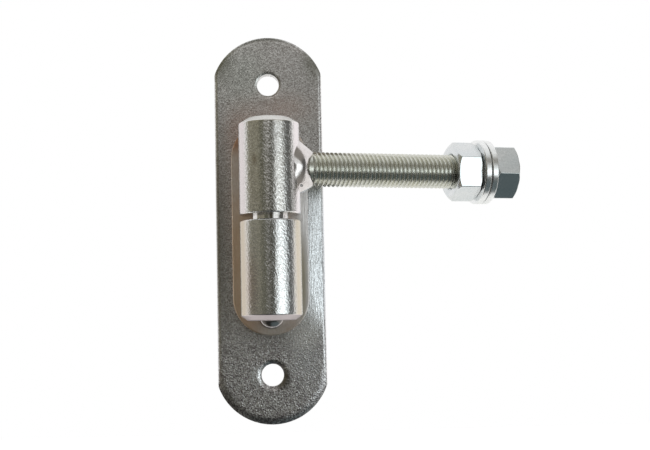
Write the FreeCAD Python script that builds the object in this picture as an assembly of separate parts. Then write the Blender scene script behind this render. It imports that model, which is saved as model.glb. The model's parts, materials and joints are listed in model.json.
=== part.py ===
import FreeCAD, Part
import math
import os

# Adjustable bolt-on gate hinge, millimetres.
# +Z runs up along the hinge axis, the front of the back plate faces -Y, and the
# origin is the centre of the back plate's rear face, midway between its bolt holes.
# The arm is drawn along +X from the hinge axis, then swung to its resting angle.

# Back plate: flat bar cropped to an arc at each end, with a punched hole near each end
PLATE_WIDTH = 50.0
PLATE_LENGTH = 180.0
PLATE_THICKNESS = 6.0
PLATE_END_RISE = 17.9
PLATE_SIDE_ROUND = 1.2
CROP_ROLL_WIDTH = 4.0
CROP_ROLL_DEPTH = 1.2
BOLT_HOLE_DIAMETER = 10.3
BOLT_HOLE_SPACING = 135.0
HOLE_ROLL_WIDTH = 2.3
HOLE_ROLL_DEPTH = 0.9

# Spacer pad: obround flat between the back plate and the barrels
PAD_WIDTH = 35.0
PAD_LENGTH = 99.0
PAD_THICKNESS = 5.0
PAD_EDGE_CHAMFER = 0.6

# Barrels: turned bar, closed at the outer end, bored from the end that faces the other
BARREL_DIAMETER = 27.5
LOWER_BARREL_LENGTH = 44.45
UPPER_BARREL_LENGTH = 43.6
LOWER_BARREL_TOP = 1.7
BARREL_GAP = 2.7
BARREL_PAD_CLEARANCE = 0.8
TOP_CHAMFER_RADIAL = 4.1
TOP_CHAMFER_AXIAL = 2.6
BOTTOM_CHAMFER_RADIAL = 3.1
BOTTOM_CHAMFER_AXIAL = 2.3
INNER_END_CHAMFER = 0.5

# Hinge pin, pressed into the lower barrel, and the ball that carries the upper barrel
PIN_DIAMETER = 16.0
PIN_SOCKET_DEPTH = 30.0
PIN_END_CHAMFER = 1.0
PIN_RUNNING_CLEARANCE = 0.05
UPPER_END_WALL = 6.0
BALL_SIDE_GAP = 2.0
BALL_SEAT_HALF_ANGLE = 60.0
BALL_SEAT_RIM = 2.5
BALL_SEAT_CLEARANCE = 0.02

# Weld bead under the lower barrel, rounded over at both ends
BEAD_HALF_WIDTH = 6.1
BEAD_HEIGHT = 4.2
BEAD_OVERRUN = 3.75
BEAD_TOP_MARGIN = 3.0

# Threaded stud, its outside diameter taken over the thread crests
STUD_DIAMETER = 15.8
STUD_REACH = 117.0
STUD_RISE = 20.9
STUD_END_CHAMFER = 1.2
STUD_WELD_BARREL_LEG = 3.4
STUD_WELD_STUD_LEG = 6.0
STUD_WELD_HOLLOW = 0.5
REST_SWING_DEG = 13.5

# Hexagon nuts and plain washers on the stud
NUT_ACROSS_FLATS = 24.0
NUT_HEIGHT = 12.3
NUT_FACE_INSET = 1.2
NUT_CHAMFER_DEG = 30.0
NUT_BORE_CHAMFER = 0.9
INNER_NUT_TURN_DEG = -6.5
OUTER_NUT_TURN_DEG = 21.5
THREAD_CLEARANCE = 0.06
OUTER_NUT_OVERHANG = 0.8
WASHER_DIAMETER = 30.0
WASHER_THICKNESS = 3.0
WASHER_EDGE_CHAMFER = 0.4
WASHER_BORE_CLEARANCE = 0.6
NUT_SEAT_GAP = 0.05
WASHER_GAP = 0.3

# Places that follow from the sizes above
ORIGIN = FreeCAD.Vector(0, 0, 0)
AXIS_X = FreeCAD.Vector(1, 0, 0)
AXIS_Y = FreeCAD.Vector(0, 1, 0)
AXIS_Z = FreeCAD.Vector(0, 0, 1)
PLATE_FRONT = -PLATE_THICKNESS
PAD_FRONT = PLATE_FRONT - PAD_THICKNESS
BARREL_RADIUS = BARREL_DIAMETER / 2
HINGE_Y = PAD_FRONT - BARREL_PAD_CLEARANCE - BARREL_RADIUS
LOWER_BARREL_BOTTOM = LOWER_BARREL_TOP - LOWER_BARREL_LENGTH
UPPER_BARREL_BOTTOM = LOWER_BARREL_TOP + BARREL_GAP
UPPER_BARREL_TOP = UPPER_BARREL_BOTTOM + UPPER_BARREL_LENGTH
PIN_RADIUS = PIN_DIAMETER / 2
PIN_BOTTOM = LOWER_BARREL_TOP - PIN_SOCKET_DEPTH
UPPER_BORE_RADIUS = PIN_RADIUS + PIN_RUNNING_CLEARANCE
BALL_RADIUS = UPPER_BORE_RADIUS - BALL_SIDE_GAP
SEAT_TANGENT = math.tan(math.radians(BALL_SEAT_HALF_ANGLE))
BALL_TO_APEX = BALL_RADIUS / math.sin(math.radians(BALL_SEAT_HALF_ANGLE)) + BALL_SEAT_CLEARANCE
UPPER_BORE_APEX = UPPER_BARREL_TOP - UPPER_END_WALL
BALL_CENTRE = UPPER_BORE_APEX - BALL_TO_APEX
PIN_SEAT_RADIUS = PIN_RADIUS - PIN_END_CHAMFER - BALL_SEAT_RIM
PIN_TOP = BALL_CENTRE - BALL_TO_APEX + PIN_SEAT_RADIUS / SEAT_TANGENT
STUD_RADIUS = STUD_DIAMETER / 2
STUD_Z = UPPER_BARREL_BOTTOM + STUD_RISE
OUTER_NUT_START = STUD_REACH + OUTER_NUT_OVERHANG - NUT_HEIGHT
OUTER_WASHER_START = OUTER_NUT_START - NUT_SEAT_GAP - WASHER_THICKNESS
INNER_WASHER_START = OUTER_WASHER_START - WASHER_GAP - WASHER_THICKNESS
INNER_NUT_START = INNER_WASHER_START - NUT_SEAT_GAP - NUT_HEIGHT


def vec(x, y, z):
    """Point or direction in millimetres."""
    return FreeCAD.Vector(x, y, z)


def face_of(edges):
    """Flat face bounded by edges that follow one another."""
    return Part.Face(Part.Wire(edges))


def turned(points):
    """Solid of revolution about Z from (radius, height) corners, closed back to the first."""
    corners = [vec(radius, 0, height) for radius, height in points]
    return Part.Face(Part.makePolygon(corners + corners[:1])).revolve(ORIGIN, AXIS_Z, 360)


def along_arm(shape):
    """Lay a solid that was turned about Z along the arm, its base at the hinge axis."""
    shape = shape.copy()
    shape.rotate(ORIGIN, AXIS_Y, 90)
    return shape


def swung(shape):
    """Carry a solid drawn along +X from the hinge axis to the arm's place at rest."""
    shape = shape.copy()
    shape.rotate(ORIGIN, AXIS_Z, REST_SWING_DEG)
    shape.translate(vec(0, HINGE_Y, STUD_Z))
    return shape


def on_hinge_axis(shape):
    """Move a solid turned about Z onto the hinge axis."""
    shape = shape.copy()
    shape.translate(vec(0, HINGE_Y, 0))
    return shape


def rolled_rim(rim, width, depth, outward, axis, angle):
    """Cutter that rolls the plate's front edge over, by depth at a rim of the given radius.

    The roll leaves the front face at a tangent and is a circular arc. outward is 1 for an
    outside edge and -1 for a hole, and the cutter is swept by angle about axis.
    """
    bend = (width**2 + depth**2) / (2 * depth)
    half_turn = math.asin(width / bend) / 2
    start = rim - outward * width
    beyond = rim + outward * width
    tangent = vec(start, PLATE_FRONT, 0)
    sag = bend * (1 - math.cos(half_turn))
    middle = vec(start + outward * bend * math.sin(half_turn), PLATE_FRONT + sag, 0)
    edge = vec(rim, PLATE_FRONT + depth, 0)
    outer = vec(beyond, PLATE_FRONT + depth, 0)
    front_outer = vec(beyond, PLATE_FRONT - depth, 0)
    front_inner = vec(start, PLATE_FRONT - depth, 0)
    profile = face_of([
        Part.Arc(tangent, middle, edge).toShape(),
        Part.makeLine(edge, outer),
        Part.makeLine(outer, front_outer),
        Part.makeLine(front_outer, front_inner),
        Part.makeLine(front_inner, tangent),
    ])
    return profile.revolve(ORIGIN, axis, angle)


def back_plate():
    """Flat bar with rounded front sides, arc ends rolled over by cropping, and two punched holes."""
    half = PLATE_WIDTH / 2
    crown = PLATE_LENGTH / 2
    corner = crown - PLATE_END_RISE
    outline = face_of([
        Part.makeLine(vec(half, 0, -corner), vec(half, 0, corner)),
        Part.Arc(vec(half, 0, corner), vec(0, 0, crown), vec(-half, 0, corner)).toShape(),
        Part.makeLine(vec(-half, 0, corner), vec(-half, 0, -corner)),
        Part.Arc(vec(-half, 0, -corner), vec(0, 0, -crown), vec(half, 0, -corner)).toShape(),
    ])
    plate = outline.extrude(vec(0, PLATE_FRONT, 0))

    bar = Part.makeBox(PLATE_WIDTH, PLATE_THICKNESS, PLATE_LENGTH, vec(-half, PLATE_FRONT, -crown))
    long_edges = [edge for edge in bar.Edges if edge.BoundBox.ZLength > PLATE_LENGTH / 2]
    front_sides = [edge for edge in long_edges if edge.CenterOfMass.y < PLATE_FRONT / 2]
    plate = plate.common(bar.makeFillet(PLATE_SIDE_ROUND, front_sides))

    end_radius = (half**2 + PLATE_END_RISE**2) / (2 * PLATE_END_RISE)
    hole_radius = BOLT_HOLE_DIAMETER / 2
    for up in (1, -1):
        roll = rolled_rim(end_radius, CROP_ROLL_WIDTH, CROP_ROLL_DEPTH, 1, AXIS_Y * -up, 180)
        roll.translate(vec(0, 0, up * (crown - end_radius)))
        rim = rolled_rim(hole_radius, HOLE_ROLL_WIDTH, HOLE_ROLL_DEPTH, -1, AXIS_Y, 360)
        hole = Part.makeCylinder(hole_radius, PLATE_THICKNESS, ORIGIN, -AXIS_Y)
        for cutter in (rim, hole):
            cutter.translate(vec(0, 0, up * BOLT_HOLE_SPACING / 2))
        plate = plate.cut([roll, rim, hole])
    return plate


def spacer_pad():
    """Obround flat with its front edge eased."""
    radius = PAD_WIDTH / 2
    straight = PAD_LENGTH / 2 - radius
    outline = face_of([
        Part.makeLine(vec(radius, PLATE_FRONT, -straight), vec(radius, PLATE_FRONT, straight)),
        Part.Arc(
            vec(radius, PLATE_FRONT, straight),
            vec(0, PLATE_FRONT, straight + radius),
            vec(-radius, PLATE_FRONT, straight),
        ).toShape(),
        Part.makeLine(vec(-radius, PLATE_FRONT, straight), vec(-radius, PLATE_FRONT, -straight)),
        Part.Arc(
            vec(-radius, PLATE_FRONT, -straight),
            vec(0, PLATE_FRONT, -straight - radius),
            vec(radius, PLATE_FRONT, -straight),
        ).toShape(),
    ])
    pad = outline.extrude(vec(0, -PAD_THICKNESS, 0))
    front_edges = [edge for edge in pad.Edges if edge.BoundBox.YMax < PLATE_FRONT - PAD_THICKNESS / 2]
    return pad.makeChamfer(PAD_EDGE_CHAMFER, front_edges)


def lower_barrel_blank():
    """Outside of the lower barrel, before it is bored."""
    return on_hinge_axis(turned([
        (0, LOWER_BARREL_BOTTOM),
        (BARREL_RADIUS - BOTTOM_CHAMFER_RADIAL, LOWER_BARREL_BOTTOM),
        (BARREL_RADIUS, LOWER_BARREL_BOTTOM + BOTTOM_CHAMFER_AXIAL),
        (BARREL_RADIUS, LOWER_BARREL_TOP - INNER_END_CHAMFER),
        (BARREL_RADIUS - INNER_END_CHAMFER, LOWER_BARREL_TOP),
        (0, LOWER_BARREL_TOP),
    ]))


def lower_barrel():
    """Fixed barrel with a blind socket for the pin."""
    socket = Part.makeCylinder(PIN_RADIUS, PIN_SOCKET_DEPTH, vec(0, HINGE_Y, PIN_BOTTOM))
    return lower_barrel_blank().cut(socket)


def upper_barrel():
    """Turning barrel, bored from below to a drill-point end that seats on the ball."""
    shoulder = UPPER_BORE_APEX - UPPER_BORE_RADIUS / SEAT_TANGENT
    return on_hinge_axis(turned([
        (UPPER_BORE_RADIUS, UPPER_BARREL_BOTTOM),
        (BARREL_RADIUS - INNER_END_CHAMFER, UPPER_BARREL_BOTTOM),
        (BARREL_RADIUS, UPPER_BARREL_BOTTOM + INNER_END_CHAMFER),
        (BARREL_RADIUS, UPPER_BARREL_TOP - TOP_CHAMFER_AXIAL),
        (BARREL_RADIUS - TOP_CHAMFER_RADIAL, UPPER_BARREL_TOP),
        (0, UPPER_BARREL_TOP),
        (0, UPPER_BORE_APEX),
        (UPPER_BORE_RADIUS, shoulder),
    ]))


def hinge_pin():
    """Plain pin with chamfered ends and a conical seat for the ball in its top."""
    return on_hinge_axis(turned([
        (0, PIN_BOTTOM),
        (PIN_RADIUS - PIN_END_CHAMFER, PIN_BOTTOM),
        (PIN_RADIUS, PIN_BOTTOM + PIN_END_CHAMFER),
        (PIN_RADIUS, PIN_TOP - PIN_END_CHAMFER),
        (PIN_RADIUS - PIN_END_CHAMFER, PIN_TOP),
        (PIN_SEAT_RADIUS, PIN_TOP),
        (0, PIN_TOP - PIN_SEAT_RADIUS / SEAT_TANGENT),
    ]))


def thrust_ball():
    """Ball held between the seat in the pin and the end of the upper barrel's bore."""
    return Part.makeSphere(BALL_RADIUS, vec(0, HINGE_Y, BALL_CENTRE))


def barrel_weld():
    """Bead that fills the root under the lower barrel and swells out past its lower end.

    It is a round-ended rod sunk into the pad, kept where it stands in front of the pad,
    less the barrel.
    """
    rod_radius = (BEAD_HALF_WIDTH**2 + BEAD_HEIGHT**2) / (2 * BEAD_HEIGHT)
    rod_y = PAD_FRONT + rod_radius - BEAD_HEIGHT
    low = LOWER_BARREL_BOTTOM - BEAD_OVERRUN + BEAD_HALF_WIDTH
    high = LOWER_BARREL_TOP - BEAD_TOP_MARGIN - BEAD_HALF_WIDTH
    rod = Part.makeCylinder(rod_radius, high - low, vec(0, rod_y, low))
    ends = [Part.makeSphere(rod_radius, vec(0, rod_y, z)) for z in (low, high)]
    bead = rod.fuse(ends).removeSplitter()
    behind_pad_front = Part.makeBox(
        2 * rod_radius,
        2 * rod_radius,
        high - low + 2 * rod_radius,
        vec(-rod_radius, PAD_FRONT, low - rod_radius),
    )
    return bead.cut([behind_pad_front, lower_barrel_blank()])


def barrel_side():
    """Cylinder of the upper barrel's outside, in the arm's own frame."""
    return Part.makeCylinder(BARREL_RADIUS, UPPER_BARREL_LENGTH, vec(0, 0, -STUD_RISE))


def threaded_stud():
    """Stud, coped to the barrel at its root and chamfered at its free end."""
    rod = along_arm(turned([
        (0, 0),
        (STUD_RADIUS, 0),
        (STUD_RADIUS, STUD_REACH - STUD_END_CHAMFER),
        (STUD_RADIUS - STUD_END_CHAMFER, STUD_REACH),
        (0, STUD_REACH),
    ]))
    return swung(rod.cut(barrel_side()))


def stud_weld():
    """Collar of weld round the stud's root, tapering from the barrel to the thread."""
    base_radius = STUD_RADIUS + STUD_WELD_BARREL_LEG
    toe = BARREL_RADIUS + STUD_WELD_STUD_LEG
    base = vec(base_radius, 0, BARREL_RADIUS)
    end = vec(STUD_RADIUS, 0, toe)
    slope = (end - base).normalize()
    waist = (base + end) * 0.5 + vec(-slope.z, 0, slope.x) * STUD_WELD_HOLLOW
    profile = face_of([
        Part.makeLine(vec(STUD_RADIUS, 0, 0), vec(base_radius, 0, 0)),
        Part.makeLine(vec(base_radius, 0, 0), base),
        Part.Arc(base, waist, end).toShape(),
        Part.makeLine(end, vec(STUD_RADIUS, 0, 0)),
    ])
    collar = along_arm(profile.revolve(ORIGIN, AXIS_Z, 360))
    return swung(collar.cut(barrel_side()))


def hex_nut(start, corner_deg):
    """Hexagon nut chamfered on both faces, one corner turned corner_deg back from straight up."""
    corner_radius = NUT_ACROSS_FLATS / math.sqrt(3)
    corners = []
    for step in range(7):
        angle = math.radians(corner_deg + 60 * step)
        corners.append(vec(-corner_radius * math.cos(angle), corner_radius * math.sin(angle), 0))
    prism = Part.Face(Part.makePolygon(corners)).extrude(vec(0, 0, NUT_HEIGHT))

    face_radius = NUT_ACROSS_FLATS / 2 - NUT_FACE_INSET
    drop = (corner_radius - face_radius) * math.tan(math.radians(NUT_CHAMFER_DEG))
    bore_radius = STUD_RADIUS + THREAD_CLEARANCE
    mouth_radius = bore_radius + NUT_BORE_CHAMFER
    envelope = turned([
        (mouth_radius, 0),
        (face_radius, 0),
        (corner_radius, drop),
        (corner_radius, NUT_HEIGHT - drop),
        (face_radius, NUT_HEIGHT),
        (mouth_radius, NUT_HEIGHT),
        (bore_radius, NUT_HEIGHT - NUT_BORE_CHAMFER),
        (bore_radius, NUT_BORE_CHAMFER),
    ])
    nut = prism.common(envelope)
    nut.translate(vec(0, 0, start))
    return swung(along_arm(nut))


def washer(start):
    """Plain punched washer with eased outer edges."""
    bore_radius = STUD_RADIUS + WASHER_BORE_CLEARANCE
    rim_radius = WASHER_DIAMETER / 2
    face_radius = rim_radius - WASHER_EDGE_CHAMFER
    ring = turned([
        (bore_radius, 0),
        (face_radius, 0),
        (rim_radius, WASHER_EDGE_CHAMFER),
        (rim_radius, WASHER_THICKNESS - WASHER_EDGE_CHAMFER),
        (face_radius, WASHER_THICKNESS),
        (bore_radius, WASHER_THICKNESS),
    ])
    ring.translate(vec(0, 0, start))
    return swung(along_arm(ring))


os.makedirs("parts", exist_ok=True)
PIECES = {
    "back_plate": back_plate(),
    "spacer_pad": spacer_pad(),
    "lower_barrel": lower_barrel(),
    "barrel_weld": barrel_weld(),
    "hinge_pin": hinge_pin(),
    "thrust_ball": thrust_ball(),
    "upper_barrel": upper_barrel(),
    "threaded_stud": threaded_stud(),
    "stud_weld": stud_weld(),
    "inner_nut": hex_nut(INNER_NUT_START, INNER_NUT_TURN_DEG),
    "inner_washer": washer(INNER_WASHER_START),
    "outer_washer": washer(OUTER_WASHER_START),
    "outer_nut": hex_nut(OUTER_NUT_START, OUTER_NUT_TURN_DEG),
}
for name, piece in PIECES.items():
    piece.exportStep(f"parts/{name}.step")
    print(name, len(piece.Solids), piece.isValid(), round(piece.Volume, 2))
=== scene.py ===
"""Looks of an adjustable bolt-on gate hinge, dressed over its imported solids.

Points are metres in the part's own frame: +Z runs up along the hinge axis and the back
plate's front faces -Y. Sizes are millimetres until points are made from them.
"""
import json
import logging
import math
from dataclasses import dataclass, replace
from enum import Enum
from typing import Any, NamedTuple

import bmesh
import bpy
import numpy as np
from mathutils import Matrix, Vector


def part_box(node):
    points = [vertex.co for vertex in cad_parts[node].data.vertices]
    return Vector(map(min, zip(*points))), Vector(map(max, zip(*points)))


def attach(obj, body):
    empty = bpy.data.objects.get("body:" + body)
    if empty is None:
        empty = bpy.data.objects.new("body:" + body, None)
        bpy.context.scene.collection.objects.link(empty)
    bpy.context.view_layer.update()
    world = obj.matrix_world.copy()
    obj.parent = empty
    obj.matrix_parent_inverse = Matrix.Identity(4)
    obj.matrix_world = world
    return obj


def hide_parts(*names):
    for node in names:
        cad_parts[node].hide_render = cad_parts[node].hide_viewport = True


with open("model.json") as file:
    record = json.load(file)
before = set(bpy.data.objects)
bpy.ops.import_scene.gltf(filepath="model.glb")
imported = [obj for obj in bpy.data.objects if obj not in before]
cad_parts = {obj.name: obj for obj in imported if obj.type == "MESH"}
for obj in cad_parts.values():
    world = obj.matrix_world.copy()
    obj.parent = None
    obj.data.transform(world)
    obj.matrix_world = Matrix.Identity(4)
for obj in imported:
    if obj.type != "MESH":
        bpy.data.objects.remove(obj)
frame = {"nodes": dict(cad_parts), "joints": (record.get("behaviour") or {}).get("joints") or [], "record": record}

MM = 0.001
FULL_TURN = 2 * math.pi
# Points nearer to one another than this are one point.
WELD_MM = 0.001
# Nearly all of a noise lies within these bounds: a grain's, and a drifting cloud's.
GRAIN_RANGE = (0.3, 0.7)
CLOUD_RANGE = (0.35, 0.65)
CLOUD_DETAIL = 3.0
LOG = logging.getLogger("gate_hinge")
Array = np.ndarray
Pair = tuple[float, float]
Triple = tuple[float, float, float]
Colour = tuple[float, float, float, float]
Tree = bpy.types.NodeTree
Socket = bpy.types.NodeSocket


class Side(Enum):
    """Which of the two nuts on the stud, seen from the hinge."""

    INNER = "inner"
    OUTER = "outer"


def linear(hex_colour: str) -> Colour:
    """Turns an sRGB hex colour into a linear one.

    Args:
        hex_colour: Colour such as "#8a8780".

    Returns:
        Linear red, green and blue, with an alpha of 1.
    """
    shares = np.array([int(hex_colour[start:start + 2], 16) for start in (1, 3, 5)]) / 255
    bent = np.where(shares <= 0.04045, shares / 12.92, ((shares + 0.055) / 1.055) ** 2.4)
    return (*bent.tolist(), 1.0)


def add_node(
    tree: Tree, kind: str, inputs: dict[int | str, Any] | None = None, **settings: Any
) -> bpy.types.Node:
    """Adds a shader node with its settings, and sets or links its inputs.

    Args:
        tree: Node tree that gets the node.
        kind: Blender's name for the node's type, less its ShaderNode prefix.
        inputs: Socket name or number, with a value to set or an output socket to link.
        settings: The node's own properties.

    Returns:
        The new node.
    """
    node = tree.nodes.new(f"ShaderNode{kind}")
    for name, value in settings.items():
        setattr(node, name, value)
    for key, value in (inputs or {}).items():
        if isinstance(value, Socket):
            tree.links.new(value, node.inputs[key])
        else:
            node.inputs[key].default_value = value
    return node


def mix(tree: Tree, share: Socket, under: Socket | Colour, over: Socket | Colour) -> Socket:
    """Adds a mix of two colours by a share, and gives its output."""
    return add_node(tree, "Mix", {0: share, 6: under, 7: over}, data_type="RGBA").outputs[2]


def ramp(
    tree: Tree, value: Socket, span: Pair, ends: Pair = (0.0, 1.0), shape: str = "LINEAR"
) -> Socket:
    """Adds a ramp between two ends over a value's span, and gives its output."""
    bounds = zip(("Value", "From Min", "From Max", "To Min", "To Max"), (value, *span, *ends))
    return add_node(tree, "MapRange", dict(bounds), interpolation_type=shape).outputs["Result"]


def place_in(tree: Tree) -> Socket:
    """Gives the place on the piece, from the tree's one node for it."""
    node = tree.nodes.get("place") or add_node(tree, "TexCoord", name="place")
    return node.outputs["Object"]


@dataclass(frozen=True)
class Patch:
    """Soft ellipsoid on a piece, gone at its radii and full within the core's share of them."""

    centre_mm: Triple
    radii_mm: Triple
    core: float = 0.0

    def share(self, tree: Tree) -> Socket:
        """Adds the patch's share at each place, from 1 in its core to 0.

        Args:
            tree: Node tree of a finish.

        Returns:
            Output with the share.
        """
        scale = [1 / (radius * MM) for radius in self.radii_mm]
        shift = [-centre / radius for centre, radius in zip(self.centre_mm, self.radii_mm)]
        inputs = {"Vector": place_in(tree), "Location": shift, "Scale": scale}
        local = add_node(tree, "Mapping", inputs).outputs["Vector"]
        away = add_node(tree, "VectorMath", {0: local}, operation="LENGTH").outputs["Value"]
        return ramp(tree, away, (self.core, 1.0), (1.0, 0.0), "SMOOTHSTEP")

    def mixed(self, tree: Tree, strength: float, under: Socket, over: Socket | Colour) -> Socket:
        """Mixes a colour over another on the patch, and gives the result's output."""
        amount = add_node(tree, "Math", {0: self.share(tree), 1: strength}, operation="MULTIPLY")
        return mix(tree, amount.outputs[0], under, over)


@dataclass(frozen=True)
class Grain:
    """Fine unevenness of a plated surface.

    size_mm is the distance across one grain, height_mm its height, stretch its length along
    each axis against its width, and turn_deg how the stretched grain is turned. A belt's
    scratches lean to one side: lean_deg is their mean slope towards +X. A grain with a patch
    fades out where the patch does.
    """

    size_mm: float
    height_mm: float
    stretch: Triple = (1.0, 1.0, 1.0)
    turn_deg: Triple = (0.0, 0.0, 0.0)
    detail: float = 2.0
    lean_deg: float = 0.0
    patch: Patch | None = None

    def height(self, tree: Tree) -> Socket:
        """Adds the grain's noise, about 0.5.

        Args:
            tree: Node tree of a finish.

        Returns:
            Output with the noise.
        """
        scale = [1 / (self.size_mm * MM * stretch) for stretch in self.stretch]
        turn = [math.radians(degrees) for degrees in self.turn_deg]
        inputs = {"Vector": place_in(tree), "Rotation": turn}
        turned = add_node(tree, "Mapping", inputs).outputs["Vector"]
        sized = add_node(tree, "Mapping", {"Vector": turned, "Scale": scale}).outputs["Vector"]
        inputs = {"Vector": sized, "Scale": 1.0, "Detail": self.detail}
        noise = add_node(tree, "TexNoise", inputs).outputs["Fac"]
        if self.lean_deg == 0:
            return noise
        across = add_node(tree, "SeparateXYZ", {0: place_in(tree)}).outputs["X"]
        fall = -math.tan(math.radians(self.lean_deg)) / (self.height_mm * MM)
        inputs = {0: across, 1: fall, 2: noise}
        return add_node(tree, "Math", inputs, operation="MULTIPLY_ADD").outputs[0]


@dataclass(frozen=True)
class Tint:
    """Patch of colour in the plating, with how much of it shows at the patch's middle."""

    colour: str
    strength: float
    patch: Patch

    def laid(self, tree: Tree, under: Socket) -> Socket:
        """Mixes the tint over a colour, and gives the result's output."""
        return self.patch.mixed(tree, self.strength, under, linear(self.colour))


@dataclass(frozen=True)
class Specks:
    """Dark and light specks on a patch, size_mm apart, with how much of them shows."""

    dark: str
    light: str
    size_mm: float
    strength: float
    patch: Patch

    def laid(self, tree: Tree, under: Socket) -> Socket:
        """Mixes the specks, each with a chance shade, over a colour.

        Args:
            tree: Node tree of a finish.
            under: Output with the colour.

        Returns:
            Output with the specked colour.
        """
        inputs = {"Vector": place_in(tree), "Scale": 1 / (self.size_mm * MM)}
        cells = add_node(tree, "TexVoronoi", inputs).outputs["Color"]
        share = add_node(tree, "SeparateColor", {0: cells}).outputs["Red"]
        spotted = mix(tree, share, linear(self.dark), linear(self.light))
        return self.patch.mixed(tree, self.strength, under, spotted)


@dataclass(frozen=True)
class Frosting:
    """Patch with a roughness of its own."""

    roughness: float
    patch: Patch


@dataclass(frozen=True)
class PlatedSteel:
    """Steel with a thin metal plating: colour, gloss and grain of its surface.

    shades are the colours of the low and high spots of the first grain, and gloss is the
    roughness with its spread between them. cloud is a colour that drifts over the surface,
    the size of its patches in millimetres and its strength. The grains add up to the bump.
    """

    name: str
    shades: tuple[str, str]
    gloss: Pair
    grains: tuple[Grain, ...]
    cloud: tuple[str, float, float]
    specks: tuple[Specks, ...] = ()
    tints: tuple[Tint, ...] = ()
    frostings: tuple[Frosting, ...] = ()

    def material(self) -> bpy.types.Material:
        """Makes the finish's node material.

        Returns:
            The new material, or the one that exists.
        """
        made = bpy.data.materials.get(self.name)
        if made is not None:
            return made
        made = bpy.data.materials.new(self.name)
        made.use_nodes = True
        tree = made.node_tree
        shader = tree.nodes["Principled BSDF"].inputs
        shader["Metallic"].default_value = 1.0
        heights = [grain.height(tree) for grain in self.grains]
        tree.links.new(self._normal(tree, heights), shader["Normal"])
        tree.links.new(self._colour(tree, heights[0]), shader["Base Color"])
        tree.links.new(self._roughness(tree, heights[0]), shader["Roughness"])
        return made

    def _normal(self, tree: Tree, heights: list[Socket]) -> Socket:
        """Adds the grains' bumps, each over the last.

        Args:
            tree: Node tree of this finish.
            heights: Output of each grain's noise.

        Returns:
            Output with the normal.
        """
        normal = None
        for grain, height in zip(self.grains, heights):
            inputs = {"Height": height, "Distance": grain.height_mm * MM}
            if grain.patch is not None:
                inputs["Strength"] = grain.patch.share(tree)
            if normal is not None:
                inputs["Normal"] = normal
            normal = add_node(tree, "Bump", inputs).outputs["Normal"]
        return normal

    def _colour(self, tree: Tree, height: Socket) -> Socket:
        """Mixes the shades, the cloud, the specks and the tints.

        Args:
            tree: Node tree of this finish.
            height: Output of the first grain's noise.

        Returns:
            Output with the colour.
        """
        dull, bright = (linear(shade) for shade in self.shades)
        colour = mix(tree, ramp(tree, height, GRAIN_RANGE), dull, bright)
        hue, size_mm, strength = self.cloud
        inputs = {"Vector": place_in(tree), "Scale": 1 / (size_mm * MM), "Detail": CLOUD_DETAIL}
        drift = add_node(tree, "TexNoise", inputs).outputs["Fac"]
        colour = mix(tree, ramp(tree, drift, CLOUD_RANGE, (0.0, strength)), colour, linear(hue))
        for layer in (*self.specks, *self.tints):
            colour = layer.laid(tree, colour)
        return colour

    def _roughness(self, tree: Tree, height: Socket) -> Socket:
        """Spreads the roughness over the first grain, and adds the frostings.

        Args:
            tree: Node tree of this finish.
            height: Output of the first grain's noise.

        Returns:
            Output with the roughness.
        """
        middle, spread = self.gloss
        rough = ramp(tree, height, GRAIN_RANGE, (middle + spread, middle - spread))
        for frosting in self.frostings:
            inputs = {0: frosting.patch.share(tree), 2: rough, 3: frosting.roughness}
            rough = add_node(tree, "Mix", inputs, data_type="FLOAT").outputs[0]
        return rough


PLATE_MM = 6.0


def on_front(x: float, z: float, half_width: float, half_height: float, core: float = 0.0) -> Patch:
    """Gives a patch on the plate's front that is gone at its back."""
    return Patch((x, -PLATE_MM, z), (half_width, PLATE_MM, half_height), core)


# Real pits, crystals and scratches of the plating are about a tenth of a millimetre across, too
# fine to show at this distance, so the finest grains and specks are drawn coarser than life, at
# about half a millimetre.

# Strip of the plate beside the barrels that was linished along the bar, with the crest where
# the belt pressed hardest, and the rim of the lower hole, which the punch burnished. The strip
# also carries a painted sheen.
LINISHED_AND_SHEEN_STRIP = Patch((21, -PLATE_MM, -12), (13, 6.5, 43), core=0.45)
LINISHED_CREST = Patch((23.5, -PLATE_MM, -16), (6.5, 6.5, 38), core=0.3)
PUNCHED_RIM = on_front(0, -67.5, 8.3, 8.3, core=0.8)
# Lower end of the plate, where the rolling scale was coarsest.
COARSE_END = on_front(0, -92, 90, 66, core=0.4)
ALL_OVER = Patch((0, 0, 0), (900, 900, 900), core=0.9)
SCRATCH = (1.0, 1.0, 10.0)
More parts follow.
